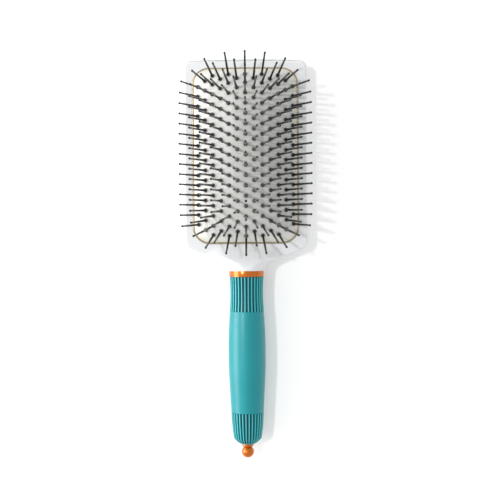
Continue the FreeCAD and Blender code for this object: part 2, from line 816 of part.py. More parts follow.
def make_screw():
    """The screw that pulls the tang into the handle, with thread crests and a cross recess."""
    threaded = screw_length.value - shank_length.value - point_length.value
    turns = int(threaded / thread_pitch.value)
    root = screw_radius - thread_depth
    tip = head_seat - screw_length
    crests = []
    for turn in range(turns):
        start = tip + point_length + thread_pitch * turn
        crests += [(-start, root), (-(start + thread_pitch * crest_start), screw_radius),
                   (-(start + thread_pitch * crest_end), screw_radius),
                   (-(start + thread_pitch * crest_foot), root)]
    dome_top = head_seat + screw_head_height
    body = turned(
        "tang_screw",
        (-tip, 0), *crests,
        (-(tip + point_length + thread_pitch * turns), screw_radius), (-head_seat, screw_radius),
        (-head_seat, screw_head_radius),
        Bend(-(dome_top - screw_dome_drop), screw_head_radius * screw_dome_out),
        (-dome_top, 0),
    )
    doc.recompute()
    for name, plane in (("recess_flat", "XY_Plane"), ("recess_upright", "YZ_Plane")):
        drawing = sketch_on(body, name, plane)
        reach = screw_head_radius * recess_reach
        low = -(dome_top + overcut)
        high = -(dome_top - screw_head_height * recess_depth)
        if plane == "XY_Plane":
            corners = ((reach, low), (reach, high), (-reach, high), (-reach, low))
        else:
            corners = ((low, reach), (high, reach), (high, -reach), (low, -reach))
        outline(drawing, *corners)
        recess = body.newObject("PartDesign::Pocket", f"{name}_cut")
        recess.Profile = drawing
        recess.Midplane = True
        recess.setExpression("Length", driver_width.text)
        doc.recompute()
    return body


# ---- pick: a pin that pulls out of the handle's end by its ball knob ------------------------
mouth = handle_end + guide_height
guide_mouth = plug_radius + plug_gap + guide_lip
neck_waist = plug_radius + waist_step
plug_hole = plug_radius + plug_gap
oring_outside = plug_hole - oring_clear


def make_end_collar():
    """The guide bush in the handle's end, with a flared flange outside it."""
    return turned(
        "end_collar",
        (-counterbore, plug_hole), (-counterbore, guide_radius), (-handle_end, guide_radius),
        (-handle_end, guide_flange), (-(handle_end + guide_height * guide_straight), guide_flange),
        Bend(-(handle_end + guide_height * guide_flare), (guide_flange + guide_mouth) / 2),
        (-mouth, guide_mouth), (-mouth, plug_hole),
    )


def make_knob():
    """Ball, waist and plug; the plug is bored for the pick and grooved for the O-ring."""
    start = mouth + waist_gap
    centre = start + leg(ball_radius, neck_waist)
    plug_tip = mouth - plug_length
    groove = mouth - oring_depth
    side = oring_section + groove_gap
    groove_floor = oring_outside - oring_section * 2
    bore_end = plug_tip + pick_grip
    return turned(
        "pick_knob",
        (-plug_tip, pick_radius), (-plug_tip, plug_radius - plug_chamfer),
        (-(plug_tip + plug_chamfer), plug_radius), (-(groove - side), plug_radius),
        (-(groove - side), groove_floor), (-(groove + side), groove_floor),
        (-(groove + side), plug_radius), (-start, plug_radius), (-start, neck_waist),
        Bend(-centre, ball_radius), (-(centre + ball_radius), 0), (-bore_end, 0),
        (-bore_end, pick_radius),
    )


def make_oring():
    """The rubber ring on the knob's plug that holds the pick in the collar."""
    middle = oring_outside - oring_section
    body = doc.addObject("Part::Torus", "pick_oring")
    body.Label = "pick_oring"
    body.setExpression("Radius1", middle.text)
    body.setExpression("Radius2", oring_section.text)
    body.Placement.Rotation = Rotation(Vector(1, 0, 0), 90)
    body.setExpression("Placement.Base.y", (-(mouth - oring_depth)).text)
    body.setExpression("Placement.Base.z", axis_height.text)
    return body


def make_pick():
    """The tapered metal pick with its rounded tip."""
    root = mouth - plug_length + pick_grip
    tip = mouth - pick_length
    straight = mouth - plug_length
    return turned(
        "pick_pin",
        (-root, 0), (-root, pick_radius), (-straight, pick_radius),
        (-(tip + pick_tip_radius), pick_tip_radius),
        Bend(-(tip + pick_tip_radius * (1 - math.sqrt(0.5))), pick_tip_radius * math.sqrt(0.5)),
        (-tip, 0),
    )


# ---- build, check and write -----------------------------------------------------------------
places = pin_places()
parts = [
    make_head(),
    make_retaining_ring(),
    make_neck_ring(),
    make_handle_core(),
    make_grip_sleeve(),
    make_washer(),
    make_screw(),
    make_end_collar(),
    make_knob(),
    make_oring(),
    make_pick(),
    make_cushion(places),
]
parts += make_pins(places)
doc.recompute()

for item in doc.Objects:
    if "Invalid" in item.State or "Error" in item.State:
        raise RuntimeError(f"{item.Name} did not build: {item.State}")
for part in parts:
    if part.Shape.isNull() or not part.Shape.isValid():
        raise RuntimeError(f"{part.Label} has no valid shape")

os.makedirs("parts", exist_ok=True)
for part in parts:
    part.Shape.exportStep(os.path.join("parts", f"{part.Label}.step"))
    box = part.Shape.BoundBox
    print(f"{part.Label:16} {len(part.Shape.Solids):3} solids, {part.Shape.Volume:10.2f} mm3, "
          f"y {box.YMin:8.2f} to {box.YMax:7.2f}, z {box.ZMin:6.2f} to {box.ZMax:6.2f}")
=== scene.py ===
# %% [markdown]
# # A paddle hair brush
# The brush has a flat white head, a domed rubber cushion full of black ball-tipped pins, and a
# turquoise soft grip with ribbed ends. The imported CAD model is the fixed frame: it says where
# everything is, and what moves. Here each part gets its real surface and its finish.

# %% Load the frame
import json
import math

import bmesh
import bpy
import numpy as np
from mathutils import Matrix, Vector


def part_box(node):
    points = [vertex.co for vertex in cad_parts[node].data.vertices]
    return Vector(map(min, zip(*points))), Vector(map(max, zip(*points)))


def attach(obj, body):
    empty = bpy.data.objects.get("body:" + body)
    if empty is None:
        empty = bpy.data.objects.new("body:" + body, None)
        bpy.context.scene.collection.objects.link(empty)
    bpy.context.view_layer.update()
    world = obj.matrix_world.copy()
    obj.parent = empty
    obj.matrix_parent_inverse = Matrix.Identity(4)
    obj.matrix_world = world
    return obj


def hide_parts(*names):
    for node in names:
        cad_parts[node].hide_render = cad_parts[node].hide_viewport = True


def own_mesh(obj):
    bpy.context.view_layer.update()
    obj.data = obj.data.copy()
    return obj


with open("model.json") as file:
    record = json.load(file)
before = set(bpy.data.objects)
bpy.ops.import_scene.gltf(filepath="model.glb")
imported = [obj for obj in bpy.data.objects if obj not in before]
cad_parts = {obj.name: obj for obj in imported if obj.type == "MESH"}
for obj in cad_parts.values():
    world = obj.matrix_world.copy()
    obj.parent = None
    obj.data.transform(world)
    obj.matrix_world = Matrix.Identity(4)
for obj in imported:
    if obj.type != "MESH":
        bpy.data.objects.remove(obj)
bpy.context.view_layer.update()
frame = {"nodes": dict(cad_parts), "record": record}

bodies = frame["record"]["behaviour"]["bodies"]
print("bodies:", ", ".join(bodies))

# %% [markdown]
# ## Modelling helpers
# Blender's operators work on what is selected, and the frame's parts are selected when they have
# been loaded. So every step starts by deselecting, and a small function remembers to do it.
# Sizes are written in millimetres, as on a drawing, and turned to metres at the last moment.

# %% Helpers for pieces
MM = 0.001
CREASE_ANGLE = math.radians(40)


def deselect():
    """Leaves edit mode with nothing selected."""
    if bpy.context.object and bpy.context.object.mode != "OBJECT":
        bpy.ops.object.mode_set(mode="OBJECT")
    bpy.ops.object.select_all(action="DESELECT")


def choose(piece):
    """Makes one piece the only selected and active one."""
    deselect()
    piece.select_set(True)
    bpy.context.view_layer.objects.active = piece


def named(name):
    """Names the object that an operator has just added."""
    piece = bpy.context.object
    piece.name = name
    piece.data.name = name
    return piece


def apply_modifier(piece, kind, **settings):
    """Adds a modifier, sets it and applies it to the mesh."""
    choose(piece)
    modifier = piece.modifiers.new(kind.title(), kind)
    for setting, value in settings.items():
        setattr(modifier, setting, value)
    bpy.ops.object.modifier_apply(modifier=modifier.name)


def settle(piece):
    """Moves a piece's place into its mesh, makes its faces point outwards and smooths them."""
    choose(piece)
    bpy.ops.object.transform_apply(location=True, rotation=True, scale=True)
    bpy.ops.object.mode_set(mode="EDIT")
    bpy.ops.mesh.select_all(action="SELECT")
    bpy.ops.mesh.normals_make_consistent(inside=False)
    bpy.ops.object.mode_set(mode="OBJECT")
    bpy.ops.object.shade_smooth_by_angle(angle=CREASE_ANGLE)


def points_of(piece):
    """A mesh's points as an array in millimetres."""
    flat = np.empty(len(piece.data.vertices) * 3)
    piece.data.vertices.foreach_get("co", flat)
    return flat.reshape(-1, 3) / MM


def set_points(piece, points):
    """Moves a mesh's points to an array of places in millimetres."""
    piece.data.vertices.foreach_set("co", (points * MM).ravel())
    piece.data.update()


def paint(piece, name, values):
    """Stores one number for each point of a mesh, for its material to read."""
    layer = piece.data.attributes.new(name, "FLOAT", "POINT")
    layer.data.foreach_set("value", np.asarray(values, dtype=np.float32))


def smooth_step(share):
    """Runs from 0 to 1 with a soft start and a soft end."""
    share = np.clip(share, 0, 1)
    return share * share * (3 - 2 * share)


print("helpers ready; a smooth step at a quarter:", smooth_step(0.25))

# %% [markdown]
# ## Shader helpers
# A material is a graph of nodes. Each node could be added by hand, but a sum soon takes ten
# lines. Written as maths it is easier to read, so a Wire wraps one socket, and multiplying a
# wire, or taking it from 1, adds the Math node that does it.

# %% Helpers for materials
class Wire:
    """One output socket of a material's nodes, which can be used in sums."""

    def __init__(self, finish, socket):
        self.finish = finish
        self.socket = socket

    def maths(self, operation, *values):
        node = self.finish.node("ShaderNodeMath", {"operation": operation}, *values)
        return self.finish.wire(node)

    def __mul__(self, other):
        return self.maths("MULTIPLY", self, other)

    def __rsub__(self, other):
        return self.maths("SUBTRACT", other, self)

    def __pow__(self, other):
        return self.maths("POWER", self, other)

    __rmul__ = __mul__


class Finish:
    """A material under construction, with its Principled shader."""

    def __init__(self, name, **constants):
        self.material = bpy.data.materials.new(name)
        self.material.use_nodes = True
        self.tree = self.material.node_tree
        self.shader = self.tree.nodes["Principled BSDF"]
        for socket, value in constants.items():
            self.feed(socket.replace("_", " "), value)

    def node(self, kind, settings=None, *values, **named_values):
        """Adds a node: its settings first, then its sockets in order or by name."""
        node = self.tree.nodes.new(kind)
        for setting, value in (settings or {}).items():
            setattr(node, setting, value)
        sockets = [(node.inputs[place], value) for place, value in enumerate(values)]
        sockets += [(node.inputs[name.replace("_", " ")], value)
                    for name, value in named_values.items()]
        for socket, value in sockets:
            self.join(socket, value)
        return node

    def join(self, socket, value):
        """Links a wire to a socket, or sets the socket's value."""
        if isinstance(value, Wire):
            self.tree.links.new(value.socket, socket)
        else:
            socket.default_value = value

    def wire(self, node, output=0):
        return Wire(self, node.outputs[output])

    def feed(self, socket, value):
        """Gives the shader's socket a constant or a wire."""
        self.join(self.shader.inputs[socket], value)

    def place(self):
        """The point on the object, in metres."""
        return self.wire(self.node("ShaderNodeTexCoord"), "Object")

    def noise(self, scale, detail=3.0, vector=None):
        """Soft random cloudiness, from 0 to 1."""
        node = self.node("ShaderNodeTexNoise", None, Vector=vector or self.place(),
                         Scale=scale, Detail=detail)
        return self.wire(node, "Fac")

    def painted(self, name):
        """A number stored on the mesh."""
        node = self.node("ShaderNodeAttribute", {"attribute_name": name})
        return self.wire(node, "Fac")

    def ramp(self, value, low, high, to_low=0.0, to_high=1.0):
        """Stretches a range of numbers to another one, and stops at its ends."""
        node = self.node("ShaderNodeMapRange", None, value, low, high, to_low, to_high)
        return self.wire(node)

    def mix(self, share, first, second):
        """A colour between two colours."""
        node = self.node("ShaderNodeMix", {"data_type": "RGBA"})
        self.join(node.inputs["Factor"], share)
        self.join(node.inputs[6], first)
        self.join(node.inputs[7], second)
        return self.wire(node, 2)

    def stretched(self, along):
        """The place with one direction drawn out, for marks that run along a part."""
        node = self.node("ShaderNodeMapping", None, Vector=self.place(), Scale=along)
        return self.wire(node)

    def bump(self, height, distance, strength=1.0):
        """Raises the surface by a height, in metres."""
        node = self.node("ShaderNodeBump", None, Height=height, Distance=distance,
                         Strength=strength)
        self.feed("Normal", self.wire(node))


def colour(red, green, blue):
    return (red, green, blue, 1.0)


def dress(piece, finish):
    """Puts a material on every face of a piece."""
    if piece.data.materials:
        for number in range(len(piece.data.materials)):
            piece.data.materials[number] = finish.material
    else:
        piece.data.materials.append(finish.material)
    print(piece.name, "is finished in", finish.material.name)


print("a Wire can be used in:", "product, power, difference from a number")


# %% [markdown]
# ## Sizes of the brush
# Places and outer sizes come from the boxes of the frame's parts, so the looks follow the
# drawing if it changes. The roundings and clearances that a box can't tell are named here.

# %% Sizes
def box_mm(node):
    """A part's lowest and highest corners, in millimetres."""
    low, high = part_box(node)
    return Vector(low) / MM, Vector(high) / MM


head_low, head_high = box_mm("head_body")
band_low, band_high = box_mm("neck_ring")
seam_low, seam_high = box_mm("retaining_ring")
grip_low, grip_high = box_mm("grip_sleeve")
HEAD_HALF = head_high.x
HEAD_TOP = head_high.y
HEAD_BOW = 0.8
HEAD_THICK = 15.0
NECK_END = band_high.y
NECK_RADIUS = 11.3
AXIS_HEIGHT = (band_low.z + band_high.z) / 2
TANG_RADIUS = 7.45
TANG_END = head_low.y
SEAT_GAP = 0.06
SEAT_HALF = seam_high.x + SEAT_GAP
SEAT_END = seam_high.y + SEAT_GAP
SEAT_CORNER = 11.5
RING_WIDTH = 1.0
SEAM_HALF = SEAT_HALF - RING_WIDTH / 2
SEAM_END = SEAT_END - RING_WIDTH / 2
SEAM_CORNER = SEAT_CORNER - RING_WIDTH / 2
CROWN_RISE = 11.9
END_RISE = 1.4
CROWN_POWER = 7.6
print("head half width:", round(HEAD_HALF, 2), "top:", round(HEAD_TOP, 2))
print("seat half width and length:", round(SEAT_HALF, 2), round(SEAT_END, 2))
print("handle axis height:", round(AXIS_HEIGHT, 2))

# %% [markdown]
# ## The camera
# The brush lies on its back and is looked at from straight above, from about arm's length, so
# the pins near the edge lean outwards in view. A lens of 75.6 mm frames the whole brush.

# %% Camera
camera_data = bpy.data.cameras.new("camera")
camera = bpy.data.objects.new("camera", camera_data)
bpy.context.collection.objects.link(camera)
camera_data.lens = 75.6
camera_data.sensor_width = 36.0
camera_data.shift_y = -0.026
camera.location = (2.5 * MM, -54.2 * MM, 715 * MM)
camera.rotation_euler = (0, 0, math.radians(-0.45))
camera_data.clip_end = 10
bpy.context.scene.camera = camera
print("camera height above the rim:", round(camera.location.z / MM - HEAD_THICK), "mm")

# %% [markdown]
# ## Floor and light
# A wide pale floor under a soft even sky. A large softbox stands low on the left: it models the
# round handle and the domed cushion from bright to dark. A weaker high lamp, further off, draws
# the one clear shadow beside the brush.

# %% Stage
deselect()
bpy.ops.mesh.primitive_plane_add(size=6, location=(0, 0, -0.1 * MM))
floor = named("floor")
dress(floor, Finish("pale_floor", Base_Color=colour(0.86, 0.86, 0.86), Roughness=0.9,
                    Emission_Color=colour(1, 1, 1), Emission_Strength=0.16))

world = bpy.data.worlds.new("sky")
bpy.context.scene.world = world
world.use_nodes = True
world.node_tree.nodes["Background"].inputs["Color"].default_value = colour(1, 1, 1)
world.node_tree.nodes["Background"].inputs["Strength"].default_value = 0.8


def lamp_at(name, kind, place, target, **settings):
    """Adds a light at a place and points it at a target."""
    data = bpy.data.lights.new(name, kind)
    for setting, value in settings.items():
        setattr(data, setting, value)
    lamp = bpy.data.objects.new(name, data)
    bpy.context.collection.objects.link(lamp)
    lamp.location = place
    lamp.rotation_euler = (Vector(target) - Vector(place)).to_track_quat("-Z", "Y").to_euler()
    return lamp


high_lamp = lamp_at("high_lamp", "SUN", (-0.78, 0.21, 1.5), (0, 0, 0), energy=0.85,
                    angle=math.radians(3.5))
softbox = lamp_at("softbox", "AREA", (-1.2, 0.1, 0.36), (0, -0.05, 0.0), shape="RECTANGLE",
                  size=1.3, size_y=0.7, energy=19)
bpy.context.scene.view_settings.view_transform = "Standard"
print("lights:", high_lamp.name, softbox.name)

# %% [markdown]
# ## The head
# One white moulding: a flat paddle that runs into a round neck, with a stepped seat for the
# cushion. It could be a block and a cylinder joined by a boolean, but the real one flows from
# flat to round with no crease. So it is made as a potter would: one ring is drawn round the
# outline, and extruded ring by ring over the front, round the edge and across the back.

# %% Outline of the head
def corner_arc(before, corner, after, radius, steps=9):
    """The points of a rounded corner between two straight runs."""
    before, corner, after = (np.array(point, float) for point in (before, corner, after))
    to_before = (before - corner) / np.linalg.norm(before - corner)
    to_after = (after - corner) / np.linalg.norm(after - corner)
    half_turn = math.acos(np.dot(to_before, to_after)) / 2
    middle = to_before + to_after
    middle /= np.linalg.norm(middle)
    centre = corner + middle * radius / math.sin(half_turn)
    start = corner + to_before * radius / math.tan(half_turn) - centre
    stop = corner + to_after * radius / math.tan(half_turn) - centre
    sweep = math.pi - 2 * half_turn
    points = []
    for step in range(steps + 1):
        share = step / steps
        point = (start * math.sin((1 - share) * sweep) + stop * math.sin(share * sweep))
        points.append(centre + point / math.sin(sweep))
    return points


def rounded(corners, radii):
    """A closed outline from corner points and the radius at each."""
    points = []
    count = len(corners)
    for number, (corner, radius) in enumerate(zip(corners, radii)):
        before = corners[number - 1]
        after = corners[(number + 1) % count]
        points += corner_arc(before, corner, after, radius) if radius else [np.array(corner)]
    return points


def evenly(points, gap):
    """The same closed outline with points no further apart than a gap."""
    spread = []
    for first, second in zip(points, points[1:] + points[:1]):
        pieces = max(1, math.ceil(np.linalg.norm(second - first) / gap))
        spread += [first + (second - first) * step / pieces for step in range(pieces)]
    return np.array(spread)


SHOULDER = -61.2
NECK_JOIN = -72.2
NECK_FLARE = 0.9
TAIL = NECK_END - 16
plan_corners = [
    (HEAD_HALF, HEAD_TOP - HEAD_BOW), (-HEAD_HALF, HEAD_TOP - HEAD_BOW),
    (-HEAD_HALF, SHOULDER), (-NECK_RADIUS - NECK_FLARE, NECK_JOIN), (-NECK_RADIUS, TAIL),
    (NECK_RADIUS, TAIL), (NECK_RADIUS + NECK_FLARE, NECK_JOIN), (HEAD_HALF, SHOULDER),
]
plan_radii = [4.2, 4.2, 6.5, 7.5, 0, 0, 7.5, 6.5]
full_plan = evenly(rounded(plan_corners, plan_radii), 0.9)
plan = full_plan.copy()
plan[:, 1] = np.maximum(plan[:, 1], NECK_END)
keep = np.hypot(*(plan - np.roll(plan, 1, axis=0)).T) > 1e-6
plan = plan[keep]
bow = HEAD_BOW * np.clip(1 - (plan[:, 0] / HEAD_HALF) ** 2, 0, 1)
plan[:, 1] += bow * smooth_step((plan[:, 1] - 50) / 13)
print("outline points:", len(plan))

# %% [markdown]
# Every ring could have its own outline, but then their points wouldn't line up. The outline is
# seen whole from its middle, so all rings share the same directions and only their reach
# changes. The front's height comes from how far a point is from the outline: the edge is rounded
# by a small radius on the paddle, and that radius grows to the whole neck's as the neck is
# reached.

# %% Rings of the head
FRONT_ROUND = 1.4
BACK_ROUND = 3.0
FRONT_RISE_LENGTH = 18.5
FRONT_ROUND_LENGTH = 13.5
BACK_RISE_LENGTH = 16
BACK_ROUND_LENGTH = 14
NECK_SPREAD = 0.9
directions = plan / np.linalg.norm(plan, axis=1)[:, None]
reach = np.linalg.norm(plan, axis=1)


def edge_distance(points):
    """How far points are from the outline's sides, the neck's open end left out."""
    nearest = np.full(len(points), 1e9)
    for first, second in zip(full_plan, np.roll(full_plan, -1, axis=0)):
        if max(first[1], second[1]) < TAIL + 1:
            continue
        run = second - first
        share = np.clip((points - first) @ run / (run @ run), 0, 1)
        gap = np.linalg.norm(points - first - share[:, None] * run, axis=1)
        nearest = np.minimum(nearest, gap)
    return nearest


def rectangle_reach(half_width, half_length, corner):
    """How far a centred round-cornered rectangle reaches in each direction."""
    low = np.zeros(len(directions))
    high = np.full(len(directions), 100.0)
    for _ in range(40):
        middle = (low + high) / 2
        place = np.abs(directions * middle[:, None])
        past = np.maximum(place - [half_width - corner, half_length - corner], 0)
        inside = np.linalg.norm(past, axis=1) <= corner
        low = np.where(inside, middle, low)
        high = np.where(inside, high, middle)
    return low


def neck_share(points, length):
    """1 at the neck's end, falling softly to 0 on the paddle."""
    past = np.maximum(np.abs(points[:, 0]) - NECK_RADIUS, 0)
    return smooth_step(1 - np.hypot(past * NECK_SPREAD, points[:, 1] - NECK_END) / length)


def quarter(distance, radius):
    """The height that a rounded edge has gained at a distance from its side."""
    left = radius - np.minimum(distance, radius)
    return np.sqrt(np.maximum(radius * radius - left * left, 0))


def front_height(points, distance):
    share = neck_share(points, FRONT_RISE_LENGTH)
    top = HEAD_THICK + (AXIS_HEIGHT + NECK_RADIUS - HEAD_THICK) * share
    radius = FRONT_ROUND + (NECK_RADIUS - FRONT_ROUND) * neck_share(points, FRONT_ROUND_LENGTH)
    return top - radius + quarter(distance, radius)


def back_height(points, distance):
    share = neck_share(points, BACK_RISE_LENGTH)
    low = (AXIS_HEIGHT - NECK_RADIUS) * share
    radius = BACK_ROUND + (NECK_RADIUS - BACK_ROUND) * neck_share(points, BACK_ROUND_LENGTH)
    return low + radius - quarter(distance, radius)


def ring_at(radii, heights):
    flat = directions * np.asarray(radii)[:, None]
    return np.column_stack([flat, np.broadcast_to(heights, len(flat))])


print("edge roundings, front and back:", FRONT_ROUND, BACK_ROUND)

# %% [markdown]
# The rings run from the floor of the air chamber up its wall, over the ledge that carries the
# cushion, across the front, down the side and over the back. They lie closer together near the
# outline, where the surface turns fastest, and that is what the powers below do.

# %% Draw the rings
LEDGE_WIDTH = 3.2
LEDGE_LEVEL = 12.0
CHAMBER_FLOOR = 3.6
CHAMBER_FOOT = 4.4
MOUTH_BEVEL_OUT = 0.15
MOUTH_BEVEL_DOWN = 0.3
FRONT_STEPS = 26
FRONT_CROWDING = 1.6
BACK_STEPS = 30
BACK_CROWDING = 2.2
seat = rectangle_reach(SEAT_HALF, SEAT_END, SEAT_CORNER)
ledge = rectangle_reach(SEAT_HALF - LEDGE_WIDTH, SEAT_END - LEDGE_WIDTH,
                        SEAT_CORNER - LEDGE_WIDTH)
head_rings = [ring_at(ledge * share, CHAMBER_FLOOR) for share in (0.02, 0.5, 0.97)]
head_rings += [ring_at(ledge, CHAMBER_FOOT), ring_at(ledge, LEDGE_LEVEL)]
head_rings += [ring_at(seat, LEDGE_LEVEL), ring_at(seat, HEAD_THICK - MOUTH_BEVEL_DOWN)]
for step in range(FRONT_STEPS + 1):
    share = (1 - step / FRONT_STEPS) ** FRONT_CROWDING
    radii = reach + (seat + MOUTH_BEVEL_OUT - reach) * share
    flat = directions * radii[:, None]
    head_rings.append(ring_at(radii, front_height(flat, edge_distance(flat))))
wall_top = head_rings[-1][:, 2]
wall_foot = back_height(plan, np.zeros(len(plan)))
for share in (0.25, 0.5, 0.75):
    head_rings.append(ring_at(reach, wall_top + (wall_foot - wall_top) * share))
for step in range(BACK_STEPS):
    radii = reach * (1 - (step / BACK_STEPS) ** BACK_CROWDING)
    flat = directions * radii[:, None]
    head_rings.append(ring_at(radii, back_height(flat, edge_distance(flat))))
print("rings:", len(head_rings))

# %% [markdown]
# The rings become a skin by extruding: a circle's points are put on the first ring, its edges are
# extruded, and the new points are put on the next ring, up to the last, which is filled. Bridging
# separate rings would give the same skin, but would have to guess which points belong together.

# %% Loft a skin
def loft(name, rings):
    """Draws the first ring, then extrudes and places each next ring; both ends are closed."""
    count = len(rings[0])
    deselect()
    bpy.ops.mesh.primitive_circle_add(vertices=count, radius=MM, fill_type="NGON")
    piece = named(name)
    bpy.ops.object.mode_set(mode="EDIT")
    mesh = bmesh.from_edit_mesh(piece.data)
    ring = list(mesh.verts)
    for vertex, place in zip(ring, rings[0]):
        vertex.co = Vector(place) * MM
    edges = [edge for edge in mesh.edges]
    for places in rings[1:]:
        grown = bmesh.ops.extrude_edge_only(mesh, edges=edges)["geom"]
        vertices = [item for item in grown if isinstance(item, bmesh.types.BMVert)]
        edges = [item for item in grown if isinstance(item, bmesh.types.BMEdge)
                 and item.verts[0] in set(vertices) and item.verts[1] in set(vertices)]
        for vertex, place in zip(vertices, places):
            vertex.co = Vector(place) * MM
    bmesh.ops.edgeloop_fill(mesh, edges=edges)
    bmesh.update_edit_mesh(piece.data)
    bpy.ops.object.mode_set(mode="OBJECT")
    return piece


head = loft("paddle_head", head_rings)
settle(head)
print("faces on the head:", len(head.data.polygons))

# %% [markdown]
# Behind the neck the moulding goes on as a round tang that the handle is pushed over. It is
# hidden, and truly just a rod, so a cylinder with bevelled ends is enough, joined to the head.

# %% Model the tang
TANG_ROOT = NECK_END + 4
TANG_CHAMFER = 0.6
deselect()
bpy.ops.mesh.primitive_cylinder_add(
    vertices=48, radius=TANG_RADIUS * MM, depth=(TANG_ROOT - TANG_END) * MM,
    location=(0, (TANG_ROOT + TANG_END) / 2 * MM, AXIS_HEIGHT * MM),
    rotation=(math.radians(90), 0, 0))
tang = named("tang")
apply_modifier(tang, "BEVEL", width=TANG_CHAMFER * MM, segments=3)
settle(tang)
choose(head)
tang.select_set(True)
bpy.ops.object.join()
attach(head, "brush")
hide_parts("head_body")
print("head triangles:", sum(len(face.vertices) - 2 for face in head.data.polygons))

# %% [markdown]
# The head is glossy white plastic. One flat white would look like a drawing. Real mouldings are
# never quite even: the gloss drifts a little from place to place and the skin has a faint
# ripple, so both come from slow noise.

# %% Finish of the head
white = Finish("white_shell", Specular_IOR_Level=0.5, Coat_Roughness=0.12)
cloud = white.noise(28.0, 2.0)
white.feed("Base Color", white.mix(cloud, colour(0.70, 0.715, 0.73), colour(0.745, 0.757, 0.765)))
white.feed("Roughness", white.ramp(white.noise(60.0), 0.3, 0.7, 0.22, 0.34))
white.feed("Coat Weight", 0.35)
white.bump(white.noise(900.0, 2.0), 0.000008, 0.3)
dress(head, white)

# %% [markdown]
# ## The cushion
# A rubber skin, domed by the air under it. Every slice across it is an arc, and the arcs are
# lower near the two ends. A flat grid is pulled into a round-cornered rectangle and lifted to
# the dome, and a shallow dimple is pressed round each pin, where the rubber is held.

# %% Shape of the dome
def crown(along):
    """The dome's height above the rim on its middle line."""
    share = np.minimum(np.abs(along) / SEAM_END, 1)
    return CROWN_RISE - (CROWN_RISE - END_RISE) * share ** CROWN_POWER


def dome(across, along):
    """The dome's height above the rim."""
    rise = crown(along)
    radius = (SEAM_HALF ** 2 + rise ** 2) / (2 * rise)
    inside = np.maximum(radius ** 2 - across ** 2, 0)
    return np.sqrt(inside) - (radius - rise)


print("dome height in the middle:", round(float(dome(0, 0)), 2), "mm")

# %% [markdown]
# The pins stand in thirteen staggered columns, evenly spaced along the dome's skin. Each points
# straight out of the rubber, and a pin is left out where it would be too near the edge. A
# flat grid of pins would be simpler, but it would crowd them on the dome's steep sides.

# %% Places of the pins
COLUMN_PITCH = 5.533
ROW_PITCH = 6.785
ROW_FAN = 0.035
SIDE_MARGIN = 3.2
END_MARGIN = 4.2
walk_y = np.linspace(0, SEAM_END * 0.9975, 400)
steps = np.hypot(np.diff(walk_y), np.diff(crown(walk_y)))
walk_length = np.concatenate([[0], np.cumsum(steps)])
crown_radius = (SEAM_HALF ** 2 + CROWN_RISE ** 2) / (2 * CROWN_RISE)


def on_cushion(across, along):
    past_x = max(abs(across) - (SEAM_HALF - SEAM_CORNER), 0)
    past_y = max(abs(along) - (SEAM_END - SEAM_CORNER), 0)
    near = math.hypot(past_x, past_y) <= SEAM_CORNER - SIDE_MARGIN
    return near and abs(along) <= SEAM_END - END_MARGIN


def pin_places():
    """Each pin's foot, in millimetres, and the direction that it points in."""
    places = []
    for column in range(-6, 7):
        across = crown_radius * math.sin(column * COLUMN_PITCH / crown_radius)
        closer = ROW_PITCH * (1 - ROW_FAN * (column / 6) ** 2)
        first = column % 2 / 2
        rows = sorted({sign * (first + step) for step in range(10) for sign in (1, -1)})
        for row in rows:
            gone = abs(row) * closer
            if gone > walk_length[-1]:
                continue
            along = math.copysign(np.interp(gone, walk_length, walk_y), row)
            if not on_cushion(across, along):
                continue
            small = 0.001
            lean_x = (dome(across + small, along) - dome(across - small, along)) / (2 * small)
            lean_y = (dome(across, along + small) - dome(across, along - small)) / (2 * small)
            foot = Vector((across, along, HEAD_THICK + dome(across, along)))
            places.append((foot, Vector((-lean_x, -lean_y, 1)).normalized()))
    return places


pins = pin_places()
print("pins:", len(pins))

# %% [markdown]
# The skin itself is one fine grid. Its straight corners are pulled round, and then every point
# is lifted to the dome and lowered again near a pin. How far each point is from the edge and
# from the nearest pin is stored on the mesh, for the finish to use.

# %% Model the cushion
PAD_INSET = 1.06
PAD_HALF = SEAT_HALF - PAD_INSET
PAD_END = SEAT_END - PAD_INSET
PAD_CORNER = SEAT_CORNER - PAD_INSET
GRID_ACROSS = 140
GRID_ALONG = 232
DIMPLE_DEPTH = 0.16
DIMPLE_REACH = 1.7


def press_to_corners(points):
    """Pulls the corners of a flat rectangle of points in to round ones."""
    flat = points[:, :2]
    signs = np.sign(flat)
    size = np.abs(flat)
    past = (size - [PAD_HALF - PAD_CORNER, PAD_END - PAD_CORNER]) / PAD_CORNER
    both = (past > 0).all(axis=1)
    p, q = past[both].T
    moved = np.column_stack([p * np.sqrt(1 - q * q / 2), q * np.sqrt(1 - p * p / 2)])
    size[both] = moved * PAD_CORNER + [PAD_HALF - PAD_CORNER, PAD_END - PAD_CORNER]
    points[:, :2] = signs * size
    return points


deselect()
bpy.ops.mesh.primitive_grid_add(x_subdivisions=GRID_ACROSS, y_subdivisions=GRID_ALONG, size=2)
cushion = named("cushion_skin")
places = points_of(cushion) * MM * [PAD_HALF, PAD_END, 0]
places = press_to_corners(places)
pin_gap = np.full(len(places), 1e9)
for foot, _ in pins:
    gap = np.hypot(places[:, 0] - foot.x, places[:, 1] - foot.y)
    pin_gap = np.minimum(pin_gap, gap)
dimple = DIMPLE_DEPTH * np.exp(-(pin_gap / DIMPLE_REACH) ** 2)
places[:, 2] = HEAD_THICK + dome(places[:, 0], places[:, 1]) - dimple
side_gap = np.array([PAD_HALF, PAD_END]) - np.abs(places[:, :2])
corner_past = PAD_CORNER - side_gap
in_corner = (corner_past > 0).all(axis=1)
edge_gap = side_gap.min(axis=1)
edge_gap[in_corner] = PAD_CORNER - np.linalg.norm(corner_past[in_corner], axis=1)
edge_gap = np.maximum(edge_gap, 0)
set_points(cushion, places)
paint(cushion, "edge_gap", edge_gap)
paint(cushion, "pin_gap", pin_gap)
print("cushion points:", len(places))

